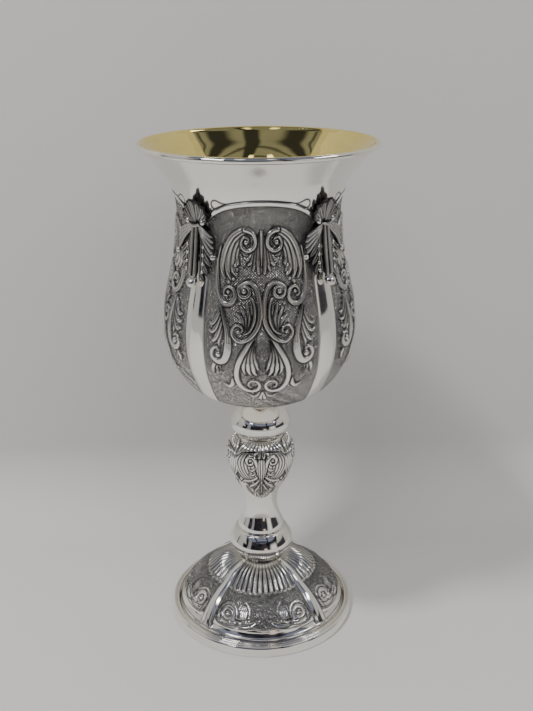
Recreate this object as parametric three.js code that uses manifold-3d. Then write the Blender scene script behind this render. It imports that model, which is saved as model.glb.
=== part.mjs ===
// Chased ciborium vessel: lobed bowl with a gilt cup inside it, stem of turned pieces, domed foot.
// Millimetres, +Z up, origin at the centre of the base, one panel centre facing -Y.
// All nodes are drawn together by a tie rod that hangs from the cup and takes a nut under the foot.
import * as THREE from 'three';
import { mergeVertices } from 'three/addons/utils/BufferGeometryUtils.js';
import Module from 'manifold-3d';

const wasm = await Module();
wasm.setup();

// ---- driving dimensions -------------------------------------------------------------------
const HEIGHT = 254;              // ten inches, base to the top of the rim wire
const GAP = 0.3;                 // clearance between neighbouring pieces
const PANELS = 4;                // chased panels round the bowl and the foot
const SECTOR = (2 * Math.PI) / PANELS;
const RING_STEPS = 48;           // facets round the large pieces
const STEM_STEPS = 32;           // facets round the stem pieces
const SMALL_STEPS = 24;          // facets round the hidden hardware

const BOWL_WALL = 1.1;
const BOWL_SEAT_R = 8.5;         // flat under the bowl that meets the neck collar
const BOWL_SEAT_Z = 125.5;
const FLUTE_HALF = SECTOR / 12;  // half width of the plain flute between two panels
const FLUTE_CROWN = 0.9;         // how far a flute swells out of its own groove
const LOBE_DEPTH = 2.6;          // panel crown to groove
const LOBE_BOTTOM = [127, 146];  // heights over which the lobing grows from nothing
const LOBE_TOP = [188, 226];     // heights over which it dies away again

const LINER_WALL = 0.9;
const LINER_WELL_R = 36.4;       // has to pass down the bowl's neck
const LINER_FLOOR_Z = 133;

const WIRE_R = 1.5;              // rim wire section radius
const WIRE_RING_R = 55.6;

const BORE_R = 3.4;              // clearance bore for the tie rod through the stem
const ROD_R = 3;
const ROD_END_Z = 17;
const BOSS_R = 9;
const BOSS_BASE_Z = 127.2;

const COLLAR_R = 8.1;
const UPPER_BALL = { r: 16, half: 10.6, z: 112, power: 2, seatLow: 104.1, seatHigh: 121.4 };
const LOWER_BALL = { r: 17.06, half: 9.35, z: 41.5, power: 2.5, seatLow: 32.6, seatHigh: 48.5 };
const BALUSTER_BASE_Z = 48.8;
const BALUSTER_TOP_Z = 103.8;

const DOME_WALL = 1.2;
const DOME_SEAT_R = 10;
const DOME_SEAT_Z = 32.3;
const DOME_LOBE = 1.5;           // panel crown to the groove beside a foot rib
const RIB_CROWN = 1.1;
const DOME_LOBE_FADE = [11, 26]; // radii over which the foot lobing grows
const DOME_EDGE_FADE = [43.2, 45.2];

const RING_R = 49.7;
const RING_INNER_R = 43.5;
const RING_TOP_Z = 3.9;           // the step that the dome stands on
const RING_STEP_R = 45.75;

const WASHER_R = 8.5;
const WASHER_T = 1.4;
const NUT_FLATS = 11;
const NUT_T = 5;

const MOUNT_WAIST_Z = 221.5;     // where a mount is tied between crest and skirt
const MOUNT_BACK_BITE = 30;      // radius from which its outline is pushed outwards
const MOUNT_REACH = 25;

// ---- outlines: radius, height ---------------------------------------------------------------
const BOWL_OUTER = [
  [BOWL_SEAT_R, BOWL_SEAT_Z], [18, 126.8], [27, 129.9], [34.4, 133.5], [40, 139.6], [44.2, 147.3],
  [46.6, 156.2], [47.24, 165.1], [46.1, 177.4], [43.6, 189.5], [41.2, 201.4], [39.7, 213],
  [39.4, 221], [40.3, 229.6], [42.5, 236.6], [46.7, 243.1], [54.4, 250.8],
];
const LINER_OUTER = [
  [10, LINER_FLOOR_Z - LINER_WALL], [24, 134], [31.6, 139.6], [35.4, 148], [LINER_WELL_R, 160],
];
const LINER_LIP = [
  [LINER_WELL_R, 216], [37.9, 228.6], [40.4, 236.9], [44.9, 244], [53.5, 252.4],
];
const BALUSTER_OUTER = [
  [12.3, BALUSTER_BASE_Z], [12, 51.3], [9.7, 57.8], [8.6, 65], [10.15, 72.7], [13.65, 79.2],
  [16.7, 87.6], [17.55, 93.6], [16.9, 98.4], [14.3, 102.2], [11.2, BALUSTER_TOP_Z],
];
const DOME_OUTER = [
  [DOME_SEAT_R, DOME_SEAT_Z], [15, 31.9], [22, 29.2], [28, 24.6], [34, 20.4], [38.6, 16], [42.6, 10.6],
  [44.4, 6.6], [45.2, RING_TOP_Z + GAP],
];
// The band stands up outside the dome's edge, which sits on the step inside it.
const RING_SECTION = [
  [RING_INNER_R, 0], [RING_R, 0], [49.6, 2.8], [49.2, 4.8], [48.5, 5.8], [47.3, 6.1], [46.3, 5.8],
  [RING_STEP_R, 4.9], [RING_STEP_R, RING_TOP_Z], [RING_INNER_R, RING_TOP_Z],
];
// A mount seen from the side, crest leaning off the bowl: back going up, then front coming down.
const MOUNT_BACK = [
  [43.4, 190.5], [41.5, 198], [40.3, 208], [39.9, MOUNT_WAIST_Z], [42.2, 229], [45.4, 238.5],
];
const MOUNT_FRONT = [
  [47.6, 238], [45.4, 231.5], [43, 225], [42.4, MOUNT_WAIST_Z], [44.2, 214], [44.7, 204], [46.4, 190.5],
];
// Half of a mount's leaf outline: distance from its centre line, height.
const MOUNT_LEAF = [
  [0, 238], [2.2, 237], [3, 234.6], [4.6, 235], [5.8, 232.4], [5, 229.6], [6.2, 227.6], [4.2, 224.6],
  [2.4, MOUNT_WAIST_Z], [5.4, 217], [9.6, 211.4], [11.4, 206.6], [9.4, 205.4], [8, 208],
  [7.4, 201.6], [5.6, 200.6], [4.8, 205], [4.4, 197.4], [2.2, 196], [0, 193.6],
];
const MOUNT_BALLS = [
  { across: 0, r: 46, z: 194.2, size: 2.3 },
  { across: 10.6, r: 44.2, z: 206.6, size: 1.5 },
  { across: -10.6, r: 44.2, z: 206.6, size: 1.5 },
  { across: 4.4, r: 43, z: 219.6, size: 1.5 },
  { across: -4.4, r: 43, z: 219.6, size: 1.5 },
];

// ---- materials --------------------------------------------------------------------------------
const metal = (color, roughness) => new THREE.MeshStandardMaterial({ color, metalness: 1, roughness });
const silver = () => metal(0xc9c9c6, 0.2);
const oxidised = () => metal(0x9a9a96, 0.35);
const gilt = () => metal(0xd9c27a, 0.2);
const hardware = () => metal(0xb9a878, 0.4);

// ---- helpers ----------------------------------------------------------------------------------
const smooth = (points, steps) => {
  const curve = new THREE.SplineCurve(points.map(([r, z]) => new THREE.Vector2(r, z)));
  return curve.getPoints(steps).map((p) => [p.x, p.y]);
};

// The same outline moved sideways by the wall thickness; the travel direction's left is inwards.
const offset = (points, wall) => points.map(([r, z], i) => {
  const [r0, z0] = points[Math.max(i - 1, 0)];
  const [r1, z1] = points[Math.min(i + 1, points.length - 1)];
  const length = Math.hypot(r1 - r0, z1 - z0);
  return [r - (wall * (z1 - z0)) / length, z + (wall * (r1 - r0)) / length];
});

const rise = ([from, to], value) => THREE.MathUtils.smoothstep(value, from, to);

// Revolves an outline round +Z. The outline closes on itself or starts and ends on the axis.
function turned(outline, steps) {
  const points = outline.map(([r, z]) => new THREE.Vector2(r, z));
  if (outline[0][0] > 0) {
    points.push(points[0].clone());
  }
  const geometry = new THREE.LatheGeometry(points, steps);
  geometry.rotateX(Math.PI / 2);
  return geometry;
}

// Angle from the nearest boundary between two panels.
const fromFlute = (angle) => {
  const turn = ((angle % SECTOR) + SECTOR) % SECTOR;
  return Math.abs(turn - SECTOR / 2);
};

// Depth below the panel crown: zero at a panel's middle, deepest in the groove, crowned on the flute.
function lobeDepth(angle, depth, crown) {
  const away = fromFlute(angle);
  if (away < FLUTE_HALF - 1e-6) {
    return depth - crown * (1 - (away / FLUTE_HALF) ** 2);
  }
  const across = (away - FLUTE_HALF) / (SECTOR / 2 - FLUTE_HALF);
  return depth * (1 - across) ** 2;
}

// Presses lobes into a turned piece; strength says how much of the depth applies at (radius, height).
function lobed(geometry, depth, crown, strength) {
  const position = geometry.attributes.position;
  for (let i = 0; i < position.count; i += 1) {
    const x = position.getX(i);
    const y = position.getY(i);
    const z = position.getZ(i);
    const r = Math.hypot(x, y);
    const share = strength(r, z);
    if (share > 0) {
      const k = (r - share * lobeDepth(Math.atan2(y, x), depth, crown)) / r;
      position.setXY(i, x * k, y * k);
    }
  }
  geometry.computeVertexNormals();
  return geometry;
}

function toManifold(geometry) {
  const plain = geometry.clone();
  plain.deleteAttribute('normal');
  plain.deleteAttribute('uv');
  const merged = mergeVertices(plain, 1e-4);
  return new wasm.Manifold(new wasm.Mesh({
    numProp: 3,
    vertProperties: new Float32Array(merged.attributes.position.array),
    triVerts: new Uint32Array(merged.index.array),
  }));
}

function fromManifold(solid) {
  const mesh = solid.getMesh();
  const geometry = new THREE.BufferGeometry();
  geometry.setAttribute('position', new THREE.BufferAttribute(mesh.vertProperties, 3));
  geometry.setIndex(new THREE.BufferAttribute(mesh.triVerts, 1));
  geometry.computeVertexNormals();
  return geometry;
}

function node(name, geometry, material) {
  const mesh = new THREE.Mesh(geometry, material);
  mesh.name = name;
  return mesh;
}

// ---- bowl -------------------------------------------------------------------------------------
function bowlShell() {
  const outer = smooth(BOWL_OUTER, 20);
  const inner = offset(smooth(BOWL_OUTER, 12), BOWL_WALL);
  const bore = [[BORE_R, BOWL_SEAT_Z + BOWL_WALL], [BORE_R, BOWL_SEAT_Z]];
  const geometry = turned([...outer, ...inner.reverse(), ...bore], RING_STEPS);
  const strength = (r, z) => rise(LOBE_BOTTOM, z) * (1 - rise(LOBE_TOP, z));
  return node('bowl_shell', lobed(geometry, LOBE_DEPTH, FLUTE_CROWN, strength), oxidised());
}

function bowlLiner() {
  const outer = [...smooth(LINER_OUTER, 6), ...smooth(LINER_LIP, 6)];
  const inner = offset(outer, LINER_WALL).reverse();
  const outline = [[0, LINER_FLOOR_Z - LINER_WALL], ...outer, ...inner, [0, LINER_FLOOR_Z]];
  return node('bowl_liner', turned(outline, RING_STEPS), gilt());
}

function rimWire() {
  const geometry = new THREE.TorusGeometry(WIRE_RING_R, WIRE_R, 8, RING_STEPS);
  const mesh = node('rim_wire', geometry, silver());
  mesh.position.z = HEIGHT - WIRE_R;
  return mesh;
}

function mountGeometry() {
  const right = MOUNT_LEAF.map(([across, z]) => new THREE.Vector2(across, z));
  const left = MOUNT_LEAF.slice(1, -1).reverse().map(([across, z]) => new THREE.Vector2(-across, z));
  const leaf = new THREE.ExtrudeGeometry(new THREE.Shape([...right, ...left]), {
    depth: MOUNT_REACH,
    bevelEnabled: false,
  });
  leaf.rotateX(Math.PI / 2);
  leaf.translate(0, -MOUNT_BACK_BITE, 0);
  const band = toManifold(turned([...MOUNT_FRONT].reverse().concat([...MOUNT_BACK].reverse()), RING_STEPS));
  let solid = band.intersect(toManifold(leaf));
  for (const { across, r, z, size } of MOUNT_BALLS) {
    const ball = new THREE.SphereGeometry(size, 8, 5);
    ball.translate(across, -Math.sqrt(r * r - across * across), z);
    solid = solid.add(toManifold(ball));
  }
  return fromManifold(solid);
}

function addMounts(group) {
  const geometry = mountGeometry();
  for (let i = 0; i < PANELS; i += 1) {
    const mesh = node(`acanthus_mount_${i + 1}`, geometry.clone(), silver());
    mesh.rotation.z = SECTOR / 2 + i * SECTOR;
    group.add(mesh);
  }
}

// ---- stem -------------------------------------------------------------------------------------
function ball(name, { r, half, z, power, seatLow, seatHigh }) {
  const radiusAt = (height) => r * (1 - (Math.abs(height - z) / half) ** power) ** (1 / power);
  const angleAt = (height) => Math.asin(THREE.MathUtils.clamp((height - z) / half, -1, 1));
  const steps = 10;
  const outer = [];
  for (let i = 0; i <= steps; i += 1) {
    const angle = THREE.MathUtils.lerp(angleAt(seatLow), angleAt(seatHigh), i / steps);
    const height = z + half * Math.sin(angle);
    outer.push([radiusAt(height), height]);
  }
  return node(name, turned([...outer, [BORE_R, seatHigh], [BORE_R, seatLow]], STEM_STEPS), silver());
}

function baluster() {
  const outer = smooth(BALUSTER_OUTER, 20);
  const outline = [...outer, [BORE_R, BALUSTER_TOP_Z], [BORE_R, BALUSTER_BASE_Z]];
  return node('baluster', turned(outline, STEM_STEPS), silver());
}

function neckCollar() {
  const low = UPPER_BALL.seatHigh + GAP;
  const high = BOWL_SEAT_Z - GAP;
  const outline = [
    [BORE_R, low], [COLLAR_R - 1, low], [COLLAR_R, low + 0.8], [COLLAR_R, high - 0.8], [COLLAR_R - 0.6, high],
    [BORE_R, high],
  ];
  return node('neck_collar', turned(outline, STEM_STEPS), silver());
}

// ---- hidden fixing ----------------------------------------------------------------------------
function bowlBoss() {
  const top = LINER_FLOOR_Z - LINER_WALL - GAP;
  const outline = [[BORE_R, BOSS_BASE_Z], [BOSS_R, BOSS_BASE_Z], [BOSS_R, top], [BORE_R, top]];
  return node('bowl_boss', turned(outline, SMALL_STEPS), hardware());
}

function tieRod() {
  const top = LINER_FLOOR_Z - LINER_WALL - GAP;
  const chamfer = 0.8;
  const outline = [[0, ROD_END_Z], [ROD_R - chamfer, ROD_END_Z], [ROD_R, ROD_END_Z + chamfer], [ROD_R, top], [0, top]];
  return node('tie_rod', turned(outline, 16), hardware());
}

function footWasher() {
  const high = DOME_SEAT_Z - DOME_WALL - GAP;
  const low = high - WASHER_T;
  const outline = [[BORE_R, low], [WASHER_R, low], [WASHER_R, high], [BORE_R, high]];
  return node('foot_washer', turned(outline, SMALL_STEPS), hardware());
}

function footNut() {
  const top = DOME_SEAT_Z - DOME_WALL - GAP - WASHER_T - GAP;
  const corner = NUT_FLATS / Math.sqrt(3);
  const shape = new THREE.Shape();
  for (let i = 0; i < 6; i += 1) {
    const angle = (i * Math.PI) / 3;
    const point = [corner * Math.cos(angle), corner * Math.sin(angle)];
    if (i === 0) {
      shape.moveTo(...point);
    } else {
      shape.lineTo(...point);
    }
  }
  shape.closePath();
  const hole = new THREE.Path();
  hole.absarc(0, 0, BORE_R, 0, 2 * Math.PI, true);
  shape.holes.push(hole);
  const geometry = new THREE.ExtrudeGeometry(shape, { depth: NUT_T, bevelEnabled: false, curveSegments: SMALL_STEPS });
  const mesh = node('foot_nut', geometry, hardware());
  mesh.position.z = top - NUT_T;
  return mesh;
}

// ---- foot -------------------------------------------------------------------------------------
function footDome() {
  const outer = smooth(DOME_OUTER, 14).reverse();
  const inner = offset(smooth(DOME_OUTER, 9), -DOME_WALL);
  inner[inner.length - 1][1] = RING_TOP_Z + GAP;
  const bore = [[BORE_R, DOME_SEAT_Z], [BORE_R, DOME_SEAT_Z - DOME_WALL]];
  const geometry = turned([...outer, ...bore, ...inner], RING_STEPS);
  const strength = (r) => rise(DOME_LOBE_FADE, r) * (1 - rise(DOME_EDGE_FADE, r));
  return node('foot_dome', lobed(geometry, DOME_LOBE, RIB_CROWN, strength), oxidised());
}

const footRing = () => node('foot_ring', turned(RING_SECTION, RING_STEPS), silver());

// ---- assembly ---------------------------------------------------------------------------------
const vessel = new THREE.Group();
vessel.name = 'ciborium_vessel';
vessel.add(bowlShell(), bowlLiner(), rimWire());
addMounts(vessel);
vessel.add(neckCollar(), ball('upper_ball', UPPER_BALL), baluster(), ball('lower_ball', LOWER_BALL));
vessel.add(footDome(), footRing());
vessel.add(bowlBoss(), tieRod(), footWasher(), footNut());

export default vessel;
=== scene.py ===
"""Chased silver ciborium: relief, cast ornament, metal finishes, stage, camera and light."""
import math
import bpy
import numpy as np
from mathutils import Matrix, Vector


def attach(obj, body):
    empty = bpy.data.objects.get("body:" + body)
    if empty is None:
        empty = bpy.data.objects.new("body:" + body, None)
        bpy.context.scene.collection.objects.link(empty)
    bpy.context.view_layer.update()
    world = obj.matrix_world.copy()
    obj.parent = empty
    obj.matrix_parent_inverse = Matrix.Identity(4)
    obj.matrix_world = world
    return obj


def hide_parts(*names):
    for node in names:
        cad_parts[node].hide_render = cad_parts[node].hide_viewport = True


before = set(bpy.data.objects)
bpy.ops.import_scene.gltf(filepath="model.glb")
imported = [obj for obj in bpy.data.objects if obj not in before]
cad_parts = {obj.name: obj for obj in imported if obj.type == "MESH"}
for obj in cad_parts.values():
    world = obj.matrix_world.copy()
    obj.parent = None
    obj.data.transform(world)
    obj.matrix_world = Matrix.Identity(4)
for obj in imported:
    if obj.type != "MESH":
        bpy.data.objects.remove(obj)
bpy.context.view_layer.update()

MM = 0.001
PI = math.pi


# ---- outlines shared with the CAD: radius, height in millimetres -----------------------------
BOWL = [
    (8.5, 125.5), (18, 126.8), (27, 129.9), (34.4, 133.5), (40, 139.6), (44.2, 147.3), (46.6, 156.2),
    (47.24, 165.1), (46.1, 177.4), (43.6, 189.5), (41.2, 201.4), (39.7, 213), (39.4, 221),
    (40.3, 229.6), (42.7, 236.6), (47.4, 243.1), (53.9, 250.8),
]
KNOP = [
    (12.0, 48.8), (12.35, 50.2), (11.9, 52.4), (9.7, 57.8), (8.6, 65), (10.15, 72.7), (13.65, 79.2),
    (16.7, 87.6), (17.55, 93.6), (16.9, 98.4), (14.3, 102.2), (11.2, 103.8),
]
DOME = [
    (10, 32.3), (15, 31.9), (22, 29.2), (28, 24.6), (34, 20.4), (38.6, 16), (42.6, 10.6), (44.4, 6.6),
    (45.2, 4.2),
]
SECTOR = PI / 2
BORE_R = 3.4                  # clearance bore for the tie rod
BOWL_LOBE = 2.6               # from a panel's crown to the groove beside a flute
FLUTE_CROWN = 0.9
BOWL_LOBE_LOW = (127, 146)    # heights over which the lobing grows
BOWL_LOBE_HIGH = (188, 226)   # heights over which it dies away
FOOT_LOBE = 1.5
RIB_CROWN = 1.1
FOOT_LOBE_INNER = (11, 26)    # radii over which the foot's lobing grows
FOOT_LOBE_OUTER = (43.2, 45.0)


def catmull(points, step):
    """Points along a uniform Catmull-Rom curve, about step apart. Extra columns are carried along."""
    p = np.asarray(points, float)
    p = np.vstack([2 * p[0] - p[1], p, 2 * p[-1] - p[-2]])
    out = []
    for i in range(1, len(p) - 2):
        n = max(2, int(math.ceil(np.linalg.norm(p[i + 1, :2] - p[i, :2]) / step)))
        t = np.linspace(0, 1, n, endpoint=False)[:, None]
        a, b, c, d = p[i - 1], p[i], p[i + 1], p[i + 2]
        square = 2 * a - 5 * b + 4 * c - d
        cube = 3 * b - a - 3 * c + d
        out.append(0.5 * (2 * b + (c - a) * t + square * t ** 2 + cube * t ** 3))
    out.append(p[-2][None])
    return np.vstack(out)


class Profile:
    """A turned outline, read by arc length s from its first point."""

    def __init__(self, points):
        self.p = catmull(points, 0.25)
        step = np.hypot(*np.diff(self.p, axis=0).T)
        self.s = np.concatenate([[0], np.cumsum(step)])
        self.length = self.s[-1]
        self.t = np.gradient(self.p, self.s, axis=0)

    def at(self, s):
        """Radius, height and the outward normal's two parts."""
        r, z = (np.interp(s, self.s, self.p[:, i]) for i in (0, 1))
        tr, tz = (np.interp(s, self.s, self.t[:, i]) for i in (0, 1))
        n = np.hypot(tr, tz)
        return r, z, tz / n, -tr / n

    def s_of_z(self, z):
        """Arc length at a height, on an outline that rises all the way."""
        return np.interp(z, self.p[:, 1], self.s)


def smoothstep(a, b, x):
    t = np.clip((x - a) / (b - a), 0, 1)
    return t * t * (3 - 2 * t)


# ---- relief: height and darkness rasters (oxide and painted shade) drawn stroke by stroke -----
RIBBON_SHADE = 0.04           # patina left on a rubbed ribbon
REED_CUT = 0.22
PATH_STEP = 0.12


class Relief:
    """Half of a mirror-symmetric panel. x is across from the middle line, s along the outline, in mm."""

    def __init__(self, width, s0, s1, pitch=0.12, margin=3.0, line=0.45):
        self.pitch, self.x0, self.s0 = pitch, -margin, s0
        self.line = line
        nx, ns = int((width + margin) / pitch) + 1, int((s1 - s0) / pitch) + 1
        self.X, self.S = np.meshgrid(self.x0 + np.arange(nx) * pitch, s0 + np.arange(ns) * pitch)
        self.h = np.zeros_like(self.X)
        self.dark = np.zeros_like(self.X)
        self.tooled = np.ones_like(self.X)

    def _window(self, path, reach):
        j0, i0 = ((path[:, :2].min(0) - reach - (self.x0, self.s0)) / self.pitch).astype(int)
        j1, i1 = ((path[:, :2].max(0) + reach - (self.x0, self.s0)) / self.pitch).astype(int) + 2
        rows = slice(max(i0, 0), max(min(i1, self.X.shape[0]), 0))
        cols = slice(max(j0, 0), max(min(j1, self.X.shape[1]), 0))
        return rows, cols

    def _nearest(self, path, rows, cols):
        """Distance to the path, side (+left), and the index of the nearest sample."""
        x, s = self.X[rows, cols], self.S[rows, cols]
        shape = x.shape
        x, s = x.ravel(), s.ravel()
        best = np.full(x.size, 1e9)
        index = np.zeros(x.size, int)
        for k0 in range(0, len(path), 48):
            part = path[k0:k0 + 48]
            d = (x[:, None] - part[None, :, 0]) ** 2 + (s[:, None] - part[None, :, 1]) ** 2
            k = d.argmin(1)
            dk = d[np.arange(x.size), k]
            better = dk < best
            best[better] = dk[better]
            index[better] = k[better] + k0
        tangent = np.gradient(path[:, :2], axis=0)[index]
        side = np.sign(tangent[:, 0] * (s - path[index, 1]) - tangent[:, 1] * (x - path[index, 0]))
        return np.sqrt(best).reshape(shape), side.reshape(shape), index.reshape(shape)

    def ribbon(self, points, width, height=0.7, form="round", reeds=(), line=None, base=0.0,
               cut=0.24, u_reeds=(0.0, 1.0)):
        """A raised band along points, outlined in black and grooved at each of its reeds.

        width is half the band's width: one number, or one for each of its evenly spaced stations.
        """
        line = self.line if line is None else line
        path = catmull(points, PATH_STEP)
        u = np.concatenate([[0], np.cumsum(np.hypot(*np.diff(path, axis=0).T))])
        u /= u[-1]
        width = np.atleast_1d(np.asarray(width, float))
        w = np.interp(u, np.linspace(0, 1, len(width)), width)
        rows, cols = self._window(path, w.max() + 1.0)
        if rows.start >= rows.stop or cols.start >= cols.stop:
            return
        dist, side, index = self._nearest(path, rows, cols)
        wl = np.maximum(w[index], 0.05)
        q = dist / wl
        inside = q < 1
        qi = np.clip(q, 0, 1)
        shape = {
            "round": np.sqrt(1 - qi ** 2),
            "flat": (1 - qi ** 5) * (1 - 0.10 * (1 - qi ** 2)),
        }[form]
        raised = base + height * np.minimum(1, 0.45 + wl / (wl.max() + 1e-9) * 0.55) * shape
        h, dark, tooled = self.h[rows, cols], self.dark[rows, cols], self.tooled[rows, cols]
        h[inside] = raised[inside]
        dark[inside] = RIBBON_SHADE
        tooled[inside] = 0
        for f in reeds:
            inner = inside & (u[index] >= u_reeds[0]) & (u[index] <= u_reeds[1])
            gap = np.abs(side * q - f) * wl
            groove = np.exp(-(gap / 0.2) ** 2) * inner
            h -= REED_CUT * groove
            dark[:] = np.maximum(dark, np.clip(1.35 * groove, 0, 0.95))
        if line > 0:
            edge = dist - wl
            rim = np.exp(-((edge - 0.10) / line) ** 2)
            h -= cut * rim
            dark[:] = np.maximum(dark, np.clip(1.6 * rim, 0, 1) * np.where(inside, 0.85, 1.0))

    def boss(self, x, s, radius, height=0.8, line=0.26):
        """A round bead."""
        self.ribbon([(x, s - 0.02), (x, s + 0.02)], radius, height, line=line)

    def groove(self, points, half=0.22, depth=0.3, dark=1.0):
        """A blackened engraved line along points."""
        path = catmull(points, PATH_STEP)
        rows, cols = self._window(path, 1.2)
        if rows.start >= rows.stop or cols.start >= cols.stop:
            return
        dist, _, _ = self._nearest(path, rows, cols)
        g = np.exp(-(dist / half) ** 2)
        self.h[rows, cols] -= depth * g
        self.dark[rows, cols] = np.maximum(self.dark[rows, cols], dark * np.clip(1.2 * g, 0, 1))

    def soften(self):
        """Rounds off single cells of the height and darkness rasters."""
        kernel = np.array([1, 2, 1]) / 4

        def blurred(v):
            return np.convolve(np.pad(v, 1, "edge"), kernel, "valid")

        for axis in (0, 1):
            self.h = np.apply_along_axis(blurred, axis, self.h)
            self.dark = np.apply_along_axis(blurred, axis, self.dark)

    def sample(self, field, x, s):
        """One of the rasters, read between its cells."""
        a = getattr(self, field)
        fx = np.clip((np.abs(x) - self.x0) / self.pitch, 0, a.shape[1] - 1.001)
        fs = np.clip((s - self.s0) / self.pitch, 0, a.shape[0] - 1.001)
        i, j = fs.astype(int), fx.astype(int)
        v, u = fs - i, fx - j
        return (a[i, j] * (1 - u) * (1 - v) + a[i, j + 1] * u * (1 - v)
                + a[i + 1, j] * (1 - u) * v + a[i + 1, j + 1] * u * v)


# ---- mesh helpers -----------------------------------------------------------------------------
def grid_faces(rows, cols, wrap_cols=False, wrap_rows=False):
    i, j = np.meshgrid(
        np.arange(rows if wrap_rows else rows - 1),
        np.arange(cols if wrap_cols else cols - 1),
        indexing="ij",
    )
    i2, j2 = (i + 1) % rows, (j + 1) % cols
    return np.stack([i * cols + j, i * cols + j2, i2 * cols + j2, i2 * cols + j], -1).reshape(-1, 4)


def mesh_object(name, verts, faces, material, attributes=None, normals=None):
    """verts in millimetres; faces is an array of quads, or a list of mixed polygons."""
    mesh = bpy.data.meshes.new(name)
    verts = np.asarray(verts, float).reshape(-1, 3) * MM
    if isinstance(faces, np.ndarray):
        mesh.vertices.add(len(verts))
        mesh.vertices.foreach_set("co", verts.ravel())
        mesh.loops.add(faces.size)
        mesh.loops.foreach_set("vertex_index", faces.ravel())
        mesh.polygons.add(len(faces))
        mesh.polygons.foreach_set("loop_start", np.arange(0, faces.size, faces.shape[1]))
    else:
        mesh.from_pydata(verts.tolist(), [], faces)
    mesh.update(calc_edges=True)
    mesh.polygons.foreach_set("use_smooth", np.ones(len(mesh.polygons), bool))
    for key, values in (attributes or {}).items():
        values = np.asarray(values, np.float32)
        if values.ndim == 1:
            mesh.attributes.new(key, "FLOAT", "POINT").data.foreach_set("value", values)
        else:
            mesh.attributes.new(key, "FLOAT_VECTOR", "POINT").data.foreach_set("vector", values.ravel())
    if normals is not None:
        mesh.normals_split_custom_set_from_vertices(np.asarray(normals, float).reshape(-1, 3).tolist())
    obj = bpy.data.objects.new(name, mesh)
    bpy.context.scene.collection.objects.link(obj)
    mesh.materials.append(material)
    return obj


def place(obj, node):
    """Every piece rides on the one body and stands in for its CAD node, which it hides."""
    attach(obj, "root")
    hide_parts(node)
    return obj


def around(r, phi, z):
    """Points at a radius, angle and height. phi is 0 towards -Y and grows towards +X."""
    return np.stack([r * np.sin(phi), -r * np.cos(phi), z + 0 * phi], -1)


def surface_normals(surface, phi, s, step=0.13, radius=40.0):
    """Normals of surface(phi, s) by central differences, the same on both sides of a seam.

    A negative radius is for a surface whose angles run the other way.
    """
    across = surface(phi + step / radius, s)[0] - surface(phi - step / radius, s)[0]
    along = surface(phi, s + step)[0] - surface(phi, s - step)[0]
    n = np.cross(across, along)
    return n / np.maximum(np.linalg.norm(n, axis=-1, keepdims=True), 1e-12)


def closed_shell(name, surface, phis, rows, inner, material, radius=40.0, wrap=True):
    """A carved surface, closed by plain rings that run back inside it from its last row to its first.

    A piece that isn't a full turn is also closed by one flat face at each of its two sides.
    """
    s, phi = np.meshgrid(rows, phis, indexing="ij")
    points, dark, tooled, chart = surface(phi, s)
    normals = surface_normals(surface, phi, s, radius=radius)
    inner = np.asarray(inner, float)
    rings = around(inner[:, :1], phis[None], inner[:, 1:])
    run = np.gradient(inner, axis=0)
    run /= np.linalg.norm(run, axis=1, keepdims=True)
    turn = 1 if radius > 0 else -1
    ring_normals = around(turn * run[:, 1:], phis[None], 0 * inner[:, 1:])
    ring_normals[..., 2] = -turn * run[:, :1]
    plain = np.zeros(rings.shape[:2])
    attributes = {
        "patina_and_painted_shade": np.concatenate([dark, plain + 0.25]).ravel(),
        "tooled": np.concatenate([tooled, plain]).ravel(),
        "chart": np.concatenate([chart, np.zeros_like(rings)]).reshape(-1, 3),
    }
    points = np.concatenate([points, rings])
    faces = grid_faces(len(points), len(phis), wrap, True)
    if not wrap:
        column = np.arange(len(points)) * len(phis)
        faces = faces.tolist() + [column.tolist(), (column + len(phis) - 1)[::-1].tolist()]
    return mesh_object(name, points, faces, material, attributes, np.concatenate([normals, ring_normals]))


def lathe(name, outline, segments, material, closed=True):
    """A solid of revolution.

    A closed outline runs round its bore; an open one starts and ends on the axis.
    """
    outline = np.asarray(outline, float)
    phi = np.linspace(0, 2 * PI, segments, endpoint=False)
    if closed:
        points = around(outline[:, :1], phi[None], outline[:, 1:])
        return mesh_object(name, points, grid_faces(len(outline), segments, True, True), material)
    ring = outline[1:-1]
    points = around(ring[:, :1], phi[None], ring[:, 1:]).reshape(-1, 3)
    points = np.vstack([points, [(0, 0, outline[0, 1]), (0, 0, outline[-1, 1])]])
    faces = grid_faces(len(ring), segments, True).tolist()
    first, last = len(points) - 2, len(points) - 1
    top = (len(ring) - 1) * segments
    for k in range(segments):
        faces.append([first, (k + 1) % segments, k])
        faces.append([last, top + k, top + (k + 1) % segments])
    return mesh_object(name, points, faces, material)


def lobe_depth(phi, depth, crown, half):
    """Depth below a panel's crown. phi is 0 in the middle of a panel."""
    away = np.abs((phi + SECTOR / 2) % SECTOR - SECTOR / 2)
    away = SECTOR / 2 - away
    flute = depth - crown * (1 - (away / half) ** 2)
    across = np.clip((away - half) / (SECTOR / 2 - half), 0, 1)
    return np.where(away < half, flute, depth * (1 - across) ** 2)


def panel_x(phi, radius):
    """Distance across a panel from its middle line, always positive: the panels are mirror-symmetric."""
    return np.abs((phi + SECTOR / 2) % SECTOR - SECTOR / 2) * radius


def spiral(cx, cs, radius, start, turns, shrink=0.3, steps=16):
    """Points winding inwards from radius; start and the turn are in degrees, anticlockwise if turns > 0."""
    count = max(4, int(abs(turns) * steps))
    t = np.linspace(0, 1, count)
    angle = math.radians(start) + t * turns * 2 * PI
    r = radius * (1 - (1 - shrink) * t)
    return [(cx + a * math.cos(b), cs + a * math.sin(b)) for a, b in zip(r, angle)]


# ---- materials --------------------------------------------------------------------------------
SILVER = (0.94, 0.92, 0.875, 1)
OXIDE = (0.035, 0.034, 0.036, 1)
GOLD = (0.95, 0.78, 0.28, 1)
BRASS = (0.72, 0.50, 0.20, 1)


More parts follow.
